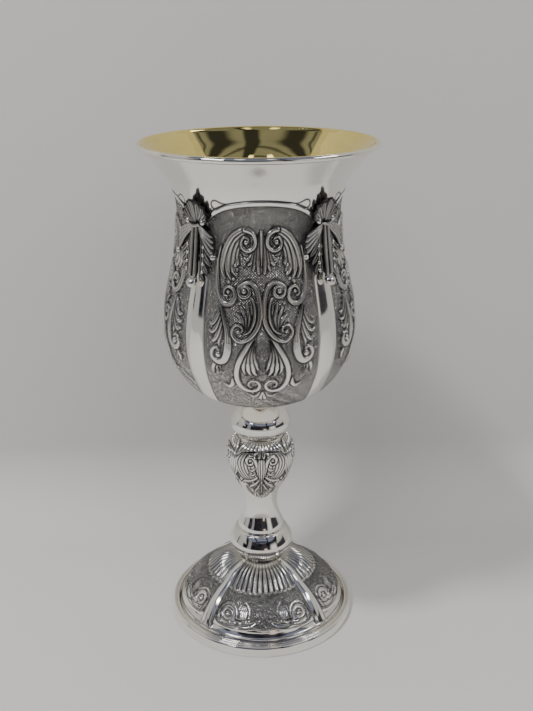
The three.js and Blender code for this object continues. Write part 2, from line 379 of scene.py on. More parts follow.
class Tree:
    """Short calls for building a node tree."""

    def __init__(self, tree):
        self.tree = tree

    def add(self, kind, inputs=(), **settings):
        node = self.tree.nodes.new(kind)
        for key, value in settings.items():
            setattr(node, key, value)
        for key, value in dict(inputs).items():
            self.set(node, key, value)
        return node

    def set(self, node, key, value):
        socket = node.inputs[key]
        if isinstance(value, bpy.types.NodeSocket):
            self.tree.links.new(value, socket)
        else:
            socket.default_value = value

    def math(self, operation, a, b=0.0, c=0.0, clamp=False):
        node = self.add("ShaderNodeMath", {0: a, 1: b, 2: c}, operation=operation, use_clamp=clamp)
        return node.outputs[0]

    def mix(self, factor, a, b):
        node = self.add("ShaderNodeMix", {}, data_type="RGBA")
        for key, value in ((0, factor), (6, a), (7, b)):
            self.set(node, key, value)
        return node.outputs[2]

    def ramp(self, value, low, high, to_low=0.0, to_high=1.0):
        node = self.add(
            "ShaderNodeMapRange",
            {"Value": value, "From Min": low, "From Max": high, "To Min": to_low, "To Max": to_high},
            interpolation_type="SMOOTHSTEP",
        )
        return node.outputs["Result"]

    def noise(self, scale, detail=3.0, rough=0.55, vector=None, stretch=None):
        vector = vector or self.add("ShaderNodeTexCoord").outputs["Object"]
        if stretch:
            vector = self.add("ShaderNodeMapping", {"Vector": vector, "Scale": stretch}).outputs[0]
        inputs = {"Vector": vector, "Scale": scale, "Detail": detail, "Roughness": rough}
        return self.add("ShaderNodeTexNoise", inputs).outputs[0]

    def attribute(self, name, output="Fac"):
        return self.add("ShaderNodeAttribute", attribute_name=name).outputs[output]

    def bump(self, height, strength, distance, normal=None):
        inputs = {"Height": height, "Strength": strength, "Distance": distance}
        if normal:
            inputs["Normal"] = normal
        return self.add("ShaderNodeBump", inputs).outputs[0]


class Nodes(Tree):
    """The tree of one new material, with its shader at hand."""

    def __init__(self, name):
        self.material = bpy.data.materials.new(name)
        self.material.use_nodes = True
        super().__init__(self.material.node_tree)
        self.shader = self.tree.nodes["Principled BSDF"]


def polished_metal(name, colour, low, high, tarnish=0.05):
    """Bright buffed metal: soft wipe marks, faint handling haze and slight waves left by hand burnishing."""
    n = Nodes(name)
    haze = n.noise(38, 5, 0.6)
    wipe = n.noise(260, 3, 0.7, stretch=(0.35, 0.35, 1.6))
    worn = n.ramp(n.math("MULTIPLY_ADD", wipe, 0.45, n.math("MULTIPLY", haze, 0.55)), 0.35, 0.7)
    dull = tuple(c * (1 - tarnish * k) for c, k in zip(colour[:3], (1.0, 1.25, 1.9))) + (1,)
    n.set(n.shader, "Base Color", n.mix(worn, colour, dull))
    n.set(n.shader, "Metallic", 1.0)
    n.set(n.shader, "Roughness", n.ramp(worn, 0, 1, low, high))
    waves = n.bump(n.noise(24, 1, 0.4), 0.05, 0.002)
    n.set(n.shader, "Normal", n.bump(wipe, 0.012, 0.0004, waves))
    return n.material


def chased_metal(name, low=0.1, high=0.2, ground=0.30):
    """Silver with black oxide in every recess, and painted shade wherever a mesh's darkness attribute asks
    for it.

    Tooled grounds are crossed with fine engraved lines, which slant one way only at the panel's foot.
    """
    n = Nodes(name)
    patina_and_painted_shade, tooled = n.attribute("patina_and_painted_shade"), n.attribute("tooled")
    chart = n.attribute("chart", "Vector")
    haze = n.noise(60, 4, 0.6)
    wipe = n.noise(300, 3, 0.7, stretch=(0.5, 0.5, 1.4))
    grain = n.noise(1.1, 3, 0.6, vector=chart)
    axes = n.add("ShaderNodeSeparateXYZ", {0: chart})
    across = n.math("MULTIPLY_ADD", grain, 0.9, axes.outputs["X"])
    along = n.math("MULTIPLY_ADD", grain, 0.9, axes.outputs["Y"])

    def lines(slope, pitch):
        """0 along each engraved line, 1 between two of them."""
        turn = n.math("MULTIPLY", n.math("MULTIPLY_ADD", across, slope, along), PI / pitch)
        return n.math("ABSOLUTE", n.math("SINE", turn))

    cells = n.math("MINIMUM", lines(0.9, 1.25), lines(-0.9, 1.25))
    one_way = lines(0.75, 1.1)
    upper = n.ramp(along, 24, 38)
    crossed = n.math("MULTIPLY", cells, upper)
    hatch = n.math("ADD", crossed, n.math("MULTIPLY", one_way, n.math("SUBTRACT", 1.0, upper)))
    matted = n.math("MULTIPLY", tooled, n.math("MULTIPLY_ADD", hatch, -1.15, 0.52))
    streak = n.math("MULTIPLY", n.math("SUBTRACT", haze, 0.5), 0.5)
    uneven = n.math("MULTIPLY", tooled, n.math("MULTIPLY_ADD", grain, 0.7, -0.35))
    depth = n.math("ADD", n.math("ADD", patina_and_painted_shade, matted), n.math("ADD", uneven, streak), clamp=True)
    depth = n.math("MULTIPLY", depth, n.ramp(patina_and_painted_shade, 0.0, 0.12))
    n.set(n.shader, "Base Color", n.mix(depth, SILVER, OXIDE))
    n.set(n.shader, "Metallic", 1.0)
    smooth = n.ramp(n.math("MULTIPLY_ADD", wipe, 0.4, n.math("MULTIPLY", haze, 0.6)), 0.35, 0.7, low, high)
    n.set(n.shader, "Roughness", n.math("MULTIPLY_ADD", depth, ground, smooth, clamp=True))
    waves = n.bump(n.noise(30, 1, 0.4), 0.05, 0.002)
    wiped = n.bump(wipe, 0.012, 0.0004, waves)
    n.set(n.shader, "Normal", n.bump(n.math("MULTIPLY", hatch, tooled), 0.9, 0.00026, wiped))
    return n.material


polished = polished_metal("polished_silver", SILVER, 0.035, 0.10)
gilt = polished_metal("gilt", GOLD, 0.025, 0.06, 0.08)
brass = polished_metal("brass_hardware", BRASS, 0.22, 0.38, 0.25)
chased = chased_metal("chased_silver", 0.06, 0.14)
cast = chased_metal("cast_silver", 0.08, 0.18)


# ---- bowl -------------------------------------------------------------------------------------
bowl_outline = Profile(BOWL)
CHART_START = bowl_outline.s_of_z(129.9)
PANEL_R = 46.0
PANEL_EDGE = 29.3
BOWL_FLUTE_HALF = SECTOR / 2 - 29.7 / PANEL_R
CHART_END = 116.8


def arch(x):
    """Chart height of the fillet band that closes the panels at the top."""
    return 111.15 - 0.55 * (x / 10) ** 2 - 0.30 * (x / 16.5) ** 4


def stipple(shape, seed, taps, share):
    """Smooth noise, widened along both axes by averaging so many neighbouring cells."""
    noise = np.random.default_rng(seed).standard_normal(shape)
    for axis in (0, 1):
        noise = sum(np.roll(noise, k, axis) for k in range(taps)) / share
    return noise


def bowl_ground(r):
    """The matted ground inside the panel's border, with its scalloped lower edge."""
    x, s = np.abs(r.X), r.S
    scallop = s - 4.4 - 1.3 * np.abs(np.cos(x * PI / 11.7))
    ground = smoothstep(0.0, 0.4, scallop) * smoothstep(PANEL_EDGE, PANEL_EDGE - 0.3, x)
    ground *= smoothstep(0.3, -0.1, s - arch(x) + 1.1)
    hatch = np.sin((x * 0.8 + s) * 2 * PI / 1.5) * np.sin((x * 0.8 - s) * 2 * PI / 1.5)
    slant = np.sin((x * 0.75 + s) * 2 * PI / 1.3) * smoothstep(32, 20, s)
    texture = hatch * smoothstep(20, 32, s) + slant
    texture = texture + 0.9 * stipple(x.shape, 11, 5, 2.2)
    r.h = ground * (-0.42 + 0.09 * texture)
    r.dark = ground * (0.74 + 0.16 * texture)
    line = np.exp(-(scallop / 0.4) ** 2) * (x < PANEL_EDGE)
    r.h -= 0.25 * line
    r.dark = np.maximum(r.dark, line)
    r.tooled = ground.copy()


def lower_leaves(r):
    """The palmette at the foot, the leaf fans beside the side stems, and the target in the pear frame."""
    # bottom palmette
    r.ribbon([(1.2, 23), (2.8, 20.4), (5, 19.9), (6.8, 21.4)], (0.5, 1.0, 0.5), height=0.5)
    r.ribbon([(0, 22.6), (0, 18.5), (0, 14.2)], (0.7, 2.3, 0.3), height=0.55)
    r.groove([(0, 20.4), (0, 16.4)], 0.3, 0.2)
    # small leaves at the foot of the side stems
    r.ribbon(
        [(14.4, 30.2), (14.7, 26.8), (16.6, 25.3), (19.3, 26.7)], (0.5, 1.3, 1.1, 0.4), form="flat",
        height=0.5,
    )
    r.ribbon([(20.6, 37), (20.2, 34)], (0.7, 0.3), height=0.4)
    r.ribbon([(21.6, 37.4), (22.3, 35), (21.4, 33.2)], (0.9, 0.9, 0.3), height=0.45)
    r.ribbon([(22.6, 37.8), (24.4, 34.6), (24.3, 31.6)], (1.0, 1.2, 0.4), height=0.5)
    # leaf fans beside the side stems
    fans = (
        ([(18.2, 60.5), (19.2, 55), (20.0, 51), (20.6, 47.6), (20.3, 45.8)], (0.4, 0.9, 1.1, 1.1, 0.5)),
        ([(18.8, 62.0), (20.0, 56), (21.4, 51.4), (23.2, 48.2), (25.4, 48.6)], (0.4, 1.0, 1.2, 1.2, 0.8)),
        ([(19.4, 63.4), (20.9, 58), (22.6, 53.8), (24.4, 51.8), (26.2, 52.4)], (0.4, 1.0, 1.1, 1.1, 0.7)),
        ([(19.9, 64.6), (21.6, 60.2), (23.2, 57), (24.8, 55.4), (26.2, 56.0)], (0.4, 0.9, 1.0, 1.0, 0.6)),
    )
    for points, widths in fans:
        r.ribbon(points, widths, height=0.6, reeds=(0.0,), u_reeds=(0.0, 0.75))
    r.boss(25.4, 49.0, 0.8, 0.6)
    # an oval target and the leaves under it, inside the pear frame
    for radius in (1.0, 2.2, 3.4):
        turn = np.linspace(0, PI, 14)
        oval = np.stack([radius * 0.9 * np.sin(turn), 45.2 - radius * 1.1 * np.cos(turn)], -1)
        r.groove(oval, 0.34, 0.25)
    fronds = (
        ([(3.2, 49.5), (4.2, 44.5), (3.6, 40), (2.6, 36.8), (1.6, 35.6)], (0.3, 0.6, 0.9, 1.3, 0.5)),
        ([(3.8, 49.0), (5.2, 43.5), (5.0, 38.5), (4.0, 34.6), (2.7, 32.6)], (0.3, 0.7, 1.0, 1.4, 0.5)),
        ([(4.6, 48.6), (6.6, 42.5), (6.9, 38), (6.2, 34.4), (5.2, 32.8)], (0.3, 0.7, 1.0, 1.3, 0.5)),
        ([(5.6, 48.0), (8.0, 42.0), (8.8, 38), (8.6, 35), (7.9, 33.4)], (0.3, 0.7, 1.0, 1.1, 0.5)),
    )
    for points, widths in fronds:
        r.ribbon(points, widths, height=0.55, reeds=(0.0,), u_reeds=(0.0, 0.6))


def lower_scrolls(r):
    """The pear frame with its inward curl, and the side stems: a long S ending in a broad curl."""
    pear = [
        (0.3, 58.4), (2.2, 54.6), (4.4, 51), (7, 46.5), (9.6, 41.8), (11.4, 37), (12.1, 32.5), (11.6, 28.6),
        (9.6, 25.5), (6.8, 23.9), (4, 23.8), (1.9, 25.2), (1.5, 27.6), (2.9, 29.4), (5, 29.6), (6.6, 28.2),
        (6.4, 26.4), (5.2, 26),
    ]
    r.ribbon(pear, (0.5, 0.9, 1.2, 1.4, 1.4, 1.3, 1.1, 0.8, 0.6), form="flat", height=0.75)
    stem = [
        (20.2, 64.8), (18.9, 60.8), (17.4, 56.8), (16.2, 52.6), (15.9, 48.5), (16, 45), (16.6, 42),
        (18, 39.4), (20.6, 38.2), (23.3, 39.2), (24.6, 41.6), (23.9, 44), (21.9, 45), (20.6, 43.9),
    ]
    r.ribbon(
        stem, (0.7, 1.0, 1.3, 1.7, 2.1, 1.9, 1.4, 1.1, 0.7), form="flat", height=0.75, reeds=(0.1, -0.45),
        u_reeds=(0, 0.42),
    )
    r.boss(21.0, 41.7, 1.5, 0.7)


def middle_scrolls(r):
    """The C scroll, its inside sprigs first and then the broad band, and the outer S scroll."""
    for root, middle, tip in (
        ((6.0, 54.6), (4.6, 60.0), (5.0, 65.4)), ((6.8, 54.8), (6.2, 60.4), (7.2, 66.4)),
        ((7.6, 55.2), (8.0, 60.2), (9.8, 64.6)), ((8.4, 56.0), (9.6, 59.6), (12.0, 61.6)),
    ):
        r.ribbon([root, middle, tip], (0.35, 1.0, 0.6), height=0.55, reeds=(0.0,), u_reeds=(0.0, 0.7))
    r.boss(10.6, 66.4, 0.8, 0.6)
    inner = [(8.2, 69.4), (5.4, 69.2), (3.8, 66.5), (3.2, 62), (3.9, 57.4), (6.0, 53.6), (8.6, 52.2)]
    r.ribbon(inner, (0.4, 0.6, 0.75, 0.75, 0.6, 0.4), height=0.5)
    upper = spiral(8.3, 72.0, 3.4, 62, -1.45, 0.36)[::-1]
    path = upper[:-1] + [
        (6.6, 76.0), (4.2, 75.0), (2.3, 72.4), (1.3, 68.5), (0.95, 64), (1.1, 59.5), (2.3, 55.6),
        (4.7, 52), (7.6, 49.6), (10.6, 49.1), (13.2, 51), (14, 53.7), (12.8, 56), (10.6, 56.4), (9, 54.8),
        (9.6, 53.4),
    ]
    r.ribbon(
        path, (0.5, 0.9, 1.0, 1.1, 1.2, 1.2, 1.1, 0.95, 0.8, 0.5), form="flat", height=0.8, reeds=(0.25,),
        u_reeds=(0.25, 0.75),
    )
    r.boss(8.6, 72.0, 1.2, 0.8)
    r.boss(11.0, 53.4, 0.9, 0.7)
    outer = [
        (21.6, 91.5), (23.3, 86), (23.9, 81), (23.7, 76.5), (22.8, 72), (20.8, 67.6), (17.6, 65.6),
        (14.6, 66.6), (13.1, 69.4), (14, 72.4), (16.6, 73.6), (18.8, 72.2), (18.8, 69.8), (17.2, 69.2),
    ]
    r.ribbon(
        outer, (0.6, 1.2, 1.4, 1.5, 1.4, 1.3, 1.1, 0.8, 0.6), form="flat", height=0.75, reeds=(0.3,),
        u_reeds=(0.05, 0.65),
    )
    r.boss(16.7, 71.2, 1.0, 0.8)


def upper_scrolls(r):
    """The palmette that hangs between the volutes, the leafy arms beside it, and the volutes."""
    fronds = (
        ([(3.6, 91.4), (5.6, 88.9), (8.2, 88.4), (9.9, 89.8)], (0.5, 1.0, 1.1, 0.6)),
        ([(2.8, 92.4), (4.2, 88.6), (6.6, 86.4), (8.6, 86.8)], (0.5, 1.0, 1.2, 0.6)),
        ([(2.2, 94.4), (3.3, 89.2), (5.0, 85.2), (6.6, 83.8)], (0.5, 1.0, 1.2, 0.7)),
        ([(1.6, 96.0), (2.3, 89.6), (3.3, 84.4), (4.2, 81.6)], (0.5, 1.0, 1.2, 0.7)),
        ([(0.9, 97.4), (1.3, 90), (1.7, 83.8), (1.4, 80.2)], (0.5, 0.9, 1.1, 0.8)),
    )
    for points, widths in fronds:
        r.ribbon(points, widths, height=0.6, reeds=(0.0,), u_reeds=(0.0, 0.8))
    r.ribbon([(0, 98.4), (0, 90), (0, 83.5)], (0.9, 0.7, 0.5), height=0.65)
    # leafy arms falling from the upper volutes, inner frond first
    arms = (
        ([(9.0, 96.4), (11.2, 93.6), (12.6, 90.2), (13.0, 87.0), (12.4, 84.6), (13.6, 82.6), (12.6, 81.0)],
         (0.5, 1.1, 1.3, 1.2, 1.1, 0.8)),
        ([(8.2, 97.4), (11.4, 95.4), (13.8, 92.0), (15.0, 88.2), (15.2, 84.4), (14.4, 80.8), (12.8, 79.0)],
         (0.6, 1.3, 1.5, 1.6, 1.4, 0.7)),
        ([(7.5, 98.6), (11.2, 97.2), (14.9, 94.2), (17.0, 89.8), (17.8, 85.2), (17.4, 80.4), (15.4, 76.8)],
         (0.7, 1.3, 1.6, 1.7, 1.5, 0.7)),
        ([(6.6, 99.8), (10.8, 99), (15.3, 96.2), (18.6, 91.6), (20.4, 86.4), (20.8, 81.4), (19.0, 77.4)],
         (0.8, 1.2, 1.5, 1.6, 1.5, 0.8)),
    )
    for points, widths in arms:
        r.ribbon(points, widths, height=0.7, reeds=(0.0,), u_reeds=(0.12, 0.85))
    for x0, s0 in ((14.2, 77.2), (16.6, 75.6), (13.4, 83.4)):
        r.boss(x0, s0, 0.9, 0.6)
    volute = [
        (8.6, 99.3), (6.6, 98.9), (4.3, 97.6), (3.1, 95.2), (3.4, 92.4), (5.4, 90.4), (8, 90.2),
        (10, 91.7), (10.4, 94.2), (8.8, 96), (6.8, 95.4), (6.5, 93.8),
    ]
    r.ribbon(volute, (1.2, 1.2, 1.1, 1.0, 0.9, 0.7, 0.5), form="round", height=0.8)
    r.boss(7.9, 93.8, 1.2, 0.9)


def bowl_border(r):
    """The fillet over the panel, the engraved loop above it, and the panel's side edge."""
    fillet = [(a, arch(a)) for a in (-2.5, 0, 5, 10, 15, 20, 25, 29.4)]
    r.ribbon(fillet, 1.25, form="flat", height=0.30, line=0.36, cut=0.28, base=-0.05)
    loop = [
        (-1, 112.6), (5, 112.3), (13, 111.15), (18, 110.6), (21, 111.2), (23.3, 112.1), (25.4, 111.5),
        (26.2, 109.8), (25.2, 108.2), (23.2, 108.0), (21.2, 108.9), (18.5, 110.1),
    ]
    r.groove(loop, 0.32, 0.25)
    # painted reflection: the upper scrolls are painted greyer than the rubbed lower ones, standing in for the
    # dark room they mirror
    x, s = np.abs(r.X), r.S
    painted_reflection_scrolls = (r.tooled < 0.5) * (x < 27) * (s < arch(x) - 2)
    r.dark = np.maximum(r.dark, 0.32 * painted_reflection_scrolls * smoothstep(30, 46, s))
    edge = [(PANEL_EDGE + 0.25, v) for v in (6, 40, 70, float(arch(PANEL_EDGE)))]
    r.groove(edge, 0.32, 0.25, 0.95)


def bowl_relief():
    """The chased scrollwork of one panel's right half, low parts first."""
    r = Relief(30.2, 2.4, 117.0)
    for draw in (bowl_ground, lower_leaves, lower_scrolls, middle_scrolls, upper_scrolls, bowl_border):
        draw(r)
    r.soften()
    return r


def carved(outline, relief, radius, low, high, place_chart, lobes=None, across=math.inf):
    """The surface function of a turned part that carries a repeated relief between two chart heights."""
    def surface(phi, s):
        r, z, nr, nz = outline.at(s)
        if lobes:
            r = r - lobes(phi, r, z)
        x, c = panel_x(phi, radius), place_chart(s)
        on = (x < across) & (c > low) & (c < high)
        h, dark, tooled = (np.where(on, relief.sample(f, x, c), 0) for f in ("h", "dark", "tooled"))
        chart = np.stack([phi * radius + 0 * c, c, 0 * c], -1)
        return around(r + h * nr, phi, z + h * nz), dark, tooled, chart
    return surface


def bowl_lobing(z):
    """Share of the bowl's lobing at a height."""
    return smoothstep(*BOWL_LOBE_LOW, z) * (1 - smoothstep(*BOWL_LOBE_HIGH, z))


def bowl_lobes(phi, r, z):
    return bowl_lobing(z) * lobe_depth(phi, BOWL_LOBE, FLUTE_CROWN, BOWL_FLUTE_HALF)


def bowl_inside():
    """The plain inside of the bowl's sheet, clear of the deepest flute and chasing, from the mouth down."""
    r, z, nr, nz = bowl_outline.at(np.linspace(bowl_outline.length, 0, 30))
    flutes = BOWL_LOBE * bowl_lobing(z)
    sheet = np.interp(z, (126, 132, 231, 238), (0.7, 1.5, 1.5, 0.7))
    r, z = r - flutes - sheet * nr, z - sheet * nz
    r[-1] = BOWL[0][0]
    return np.stack([r, z], -1)


def make_bowl():
    """Four closed quarters, each a chased panel and one plain flute, with fine rows where the chasing is."""
    relief = bowl_relief()
    surface = carved(
        bowl_outline, relief, PANEL_R, 2.6, CHART_END, lambda s: s - CHART_START, bowl_lobes, 30.0,
    )
    half = PANEL_EDGE / PANEL_R + 0.012
    panel = np.linspace(-half, half, 206)
    flute = np.linspace(half, SECTOR - half, 20)[1:]
    ends = [0, CHART_START + 3.4, CHART_START + 113.5, bowl_outline.length]
    rows = np.concatenate([
        np.linspace(ends[0], ends[1], 16, endpoint=False),
        np.linspace(ends[1], ends[2], 360, endpoint=False),
        np.linspace(ends[2], ends[3], 22),
    ])
    inside = bowl_inside()
    for k in range(4):
        phis = np.concatenate([panel, flute]) + k * SECTOR
        obj = closed_shell(f"bowl_panel_{k + 1}", surface, phis, rows, inside, chased, PANEL_R, False)
        place(obj, "bowl_shell")


# ---- rim, liner, stem balls, collar and foot ring ----------------------------------------------
LINER = [
    (23.8, 134.9), (31.0, 140.3), (34.5, 148.3), (35.5, 160), (35.5, 188), (35.5, 216), (36.6, 227.6),
    (39.2, 235.5), (42.0, 239.8), (45.6, 244.0), (49.4, 247.9), (52.0, 250.6), (54.1, 252.8),
]
LINER_WALL = 0.9
LINER_FLOOR_Z = 133.0
ROLL_R = 55.6
ROLL_Z = 252.5
ROLL_WIRE = 1.46


def make_rim():
    a = np.linspace(0, 2 * PI, 28, endpoint=False)
    section = np.stack([ROLL_R + ROLL_WIRE * np.cos(a), ROLL_Z + ROLL_WIRE * np.sin(a)], -1)
    place(lathe("rim_roll", section, 256, polished), "rim_wire")


def make_liner():
    """The gilt cup. Its lip thins out and is burnished over the inner half of the rolled rim."""
    a = np.radians(np.linspace(158, 66, 10))
    lip = ROLL_WIRE + 0.02
    over = np.stack([ROLL_R + lip * np.cos(a), ROLL_Z + lip * np.sin(a)], -1)
    floor = [(0.5, LINER_FLOOR_Z), (10, LINER_FLOOR_Z)]
    inner = np.vstack([floor, catmull(LINER, 1.2), over])
    t = np.gradient(inner, axis=0)
    t /= np.linalg.norm(t, axis=1, keepdims=True)
    wall = np.interp(inner[:, 1], (238, 250, 253), (LINER_WALL, 0.3, 0.01))
    outer = inner + wall[:, None] * np.stack([t[:, 1], -t[:, 0]], -1)
    outer[0, 0] = 0.5
    outline = np.vstack([[(0, LINER_FLOOR_Z - LINER_WALL)], outer, inner[::-1], [(0, LINER_FLOOR_Z)]])
    place(lathe("gilt_liner", outline, 224, gilt, closed=False), "bowl_liner")


def ball_outline(radius, middle, low, high, power, fall_low, fall_high):
    """A spun ball: its radius falls from the girdle by fall * distance ** power."""
    soft = 0.8
    z = np.linspace(low, high, 56)
    away = np.sqrt((z - middle) ** 2 + soft ** 2)
    fall = np.where(z < middle, fall_low, fall_high)
    r = radius - fall * (away ** power - soft ** power)
    return [(BORE_R, low)] + list(zip(r, z)) + [(BORE_R, high)]


def make_turned_parts():
    """The two stem balls, the collar under the bowl and the ring with two beads that the foot stands on."""
    upper = ball_outline(16.0, 111.1, 104.1, 121.4, 2.0, 0.098, 0.084)
    lower = ball_outline(17.06, 41.5, 32.6, 48.5, 1.45, 0.215, 0.205)
    place(lathe("upper_knop_ball", upper, 160, polished), "upper_ball")
    place(lathe("lower_knop_ball", lower, 160, polished), "lower_ball")
    a = np.linspace(-PI / 2, PI / 2, 12)
    bulge = [(7.2 + 0.9 * math.cos(b), 123.45 + 1.75 * math.sin(b)) for b in a]
    collar = [(BORE_R, 121.7)] + bulge + [(BORE_R, 125.2)]
    place(lathe("neck_ring", collar, 96, polished), "neck_collar")
    band = [(43.5, 0), (49.2, 0), (49.6, 0.2), (49.7, 0.6), (49.62, 2.6), (49.35, 4.4), (49.05, 5.0)]
    outer_bead = catmull([(48.95, 5.05), (48.75, 5.7), (48.1, 5.95), (47.5, 5.6), (47.35, 5.2)], 0.25)
    inner_bead = catmull([(47.3, 5.2), (47.05, 5.75), (46.5, 6.0), (45.95, 5.7), (45.75, 5.1)], 0.25)
    step = [(45.75, 3.95), (43.5, 3.95)]
    ring = np.vstack([band, outer_bead, inner_bead, step])
    place(lathe("base_ring", ring, 224, polished), "foot_ring")


# ---- chased knop ------------------------------------------------------------------------------
KNOP_R = 17.0
knop_outline = Profile(KNOP)


def knop_relief():
    """A leaf shield: tips over the shoulder, reeds sweeping out and down, and a hatched point below."""
    r = Relief(13.4, 14.0, 60.0, pitch=0.1, margin=2.0)
    x, s = np.abs(r.X), r.S
    ground = smoothstep(-0.3, 0.5, s - 21.8 - 1.12 * x) * smoothstep(59.0, 57.5, s)
    ridges = np.sin(x * 2 * PI / 0.95) * smoothstep(38, 33, s)
    r.h = ground * (-0.32 + 0.08 * ridges)
    r.dark = ground * (0.70 + 0.16 * ridges)
    r.tooled = ground.copy()
    # leaf tips over the shoulder
    for x0 in (1.2, 3.5, 5.8, 8.1, 10.4, 12.6):
        r.ribbon([(x0 * 0.75, 58.4), (x0 * 0.92, 55), (x0, 51.2)], (0.7, 1.15, 0.8), height=0.7, line=0.24)
    # reeds that sweep out, down and back in, outermost first
    for k in range(5, -1, -1):
        wide = 4.4 + 1.75 * k
        reed = [
            (2.0 + 0.5 * k, 53.4), (wide * 0.78, 52.6 - 0.2 * k), (wide, 49.2 - 0.3 * k),
            (wide * 0.98, 45.2 - 0.4 * k), (wide * 0.78, 41.0 - 0.5 * k), (wide * 0.5, 37.4 - 0.2 * k),
        ]
        r.ribbon(reed, (0.5, 0.85, 0.95, 0.95, 0.8, 0.4), height=0.65, line=0.24)
    # arms under the shield
    r.ribbon(
        [(1.4, 40.4), (4.2, 37.4), (7.4, 36.0), (10.2, 35.4), (12.4, 33.8)], (0.5, 0.9, 1.0, 0.6),
        height=0.6, line=0.24,
    )
    r.ribbon(
        [(1.2, 37.4), (3.6, 34.2), (6.2, 32.6), (8.4, 30.6)], (0.5, 0.85, 0.9, 0.5), height=0.6, line=0.24,
    )
    r.ribbon([(0.9, 34), (2.4, 30.8), (4.2, 28.6), (5.2, 27.0)], (0.4, 0.7, 0.7, 0.4), height=0.5, line=0.24)
    r.boss(5.0, 35.4, 0.7, 0.6, 0.22)
    # volutes
    volute = [
        (1.5, 40.4), (1.9, 44.4), (2.6, 48.0), (4.0, 50.8), (6.2, 51.2), (7.6, 49.4), (6.8, 47.4),
        (5.0, 47.2), (4.4, 48.8), (5.4, 49.6),
    ]
    r.ribbon(volute, (0.7, 0.95, 1.0, 0.9, 0.7, 0.45), form="flat", height=0.8, line=0.26)
    r.boss(5.6, 49.2, 0.8, 0.8, 0.22)
    for level in (45.2, 42.2):
        r.ribbon(
            [(3.0, level), (4.8, level - 1.6), (6.6, level - 0.8)], (0.4, 0.8, 0.4), height=0.6, line=0.22,
        )
    # three reeds down the middle, and the bead at the point
    for x0 in (1.05, 0.0):
        r.ribbon([(x0, 49.5), (x0, 43), (x0 * 0.7, 36)], (0.6, 0.55, 0.35), height=0.6, line=0.22)
    r.ribbon([(0, 35.5), (0, 30), (0, 25.4)], (0.7, 0.5, 0.3), height=0.5, line=0.22)
    r.boss(0, 24.0, 0.75, 0.7, 0.22)
    r.groove([(13.35, 37.5), (8, 31.0), (4, 26.6), (0, 21.8)], 0.24, 0.15, 0.9)
    r.soften()
    return r


def make_knop():
    surface = carved(knop_outline, knop_relief(), KNOP_R, 14.4, 59.6, lambda s: s)
    phis = np.linspace(0, 2 * PI, 420, endpoint=False)
    waist = np.linspace(0, 18, 30, endpoint=False)
    rows = np.concatenate([waist, np.linspace(18, knop_outline.length, 196)])
    bore = [(BORE_R, KNOP[-1][1]), (BORE_R, KNOP[0][1])]
    obj = closed_shell("chased_knop", surface, phis, rows, bore, chased, radius=KNOP_R)
    place(obj, "baluster")


# ---- chased foot ------------------------------------------------------------------------------
FOOT_R = 40.0
foot_outline = Profile(DOME)
FOOT_CHART = 54.0
FOOT_FLUTES = 13
RIB_HALF = math.radians(5.2)
FOOT_EDGE = FOOT_R * (SECTOR / 2 - RIB_HALF)


def foot_lobing(r):
    """Share of the foot's lobing at a radius."""
    return smoothstep(*FOOT_LOBE_INNER, r) * (1 - smoothstep(*FOOT_LOBE_OUTER, r))


def foot_lobes(phi, r, z):
    return foot_lobing(r) * lobe_depth(phi, FOOT_LOBE, RIB_CROWN, RIB_HALF)


def foot_ground(r):
    """The matted field, and the fan of hollow flutes above it that ends in a rolled scalloped edge."""
    x, s = np.abs(r.X), r.S
    pitch = 2 * FOOT_EDGE / FOOT_FLUTES
    part = (x / pitch + 0.5) % 1.0
    arc = np.sqrt(np.clip(1 - (2 * part - 1) ** 2, 0, 1))
    rim = 33.4 - 1.9 * arc
    inside = x < FOOT_EDGE - 0.2
    field = smoothstep(14.0, 14.8, s) * smoothstep(0.2, -0.2, s - rim) * inside
    grain = stipple(x.shape, 5, 3, 1.7)
    r.h = field * (0.05 * grain - 0.30)
    r.dark = field * (0.97 + 0.14 * grain)
    r.tooled = field.copy()
    shell = smoothstep(-0.1, 0.2, s - rim) * inside
    deep = smoothstep(54.0, 40.0, s)
    hollow = np.sin(PI * part) ** 0.7
    r.h += shell * (0.10 + deep * (0.45 - 0.75 * hollow))
    r.dark = np.maximum(r.dark, shell * (0.03 + (0.60 + 0.36 * deep) * hollow ** 1.8))
    roll = np.exp(-((s - rim - 0.8) / 0.65) ** 2) * inside * hollow
    r.h += 0.75 * roll
    r.dark *= 1 - 0.9 * roll
    r.tooled *= 1 - roll
    gap = np.exp(-((s - rim + 0.15) / 0.3) ** 2) * inside
    r.h -= 0.2 * gap
    r.dark = np.maximum(r.dark, 0.95 * gap)
    to_edge = (part - 0.5 + 0.5 * np.sign(0.5 - part)) * pitch
    split = np.exp(-(to_edge / 0.22) ** 2) * smoothstep(2.4, 0.8, s - rim) * shell
    r.h -= 0.25 * split
    r.dark = np.maximum(r.dark, 0.9 * split)


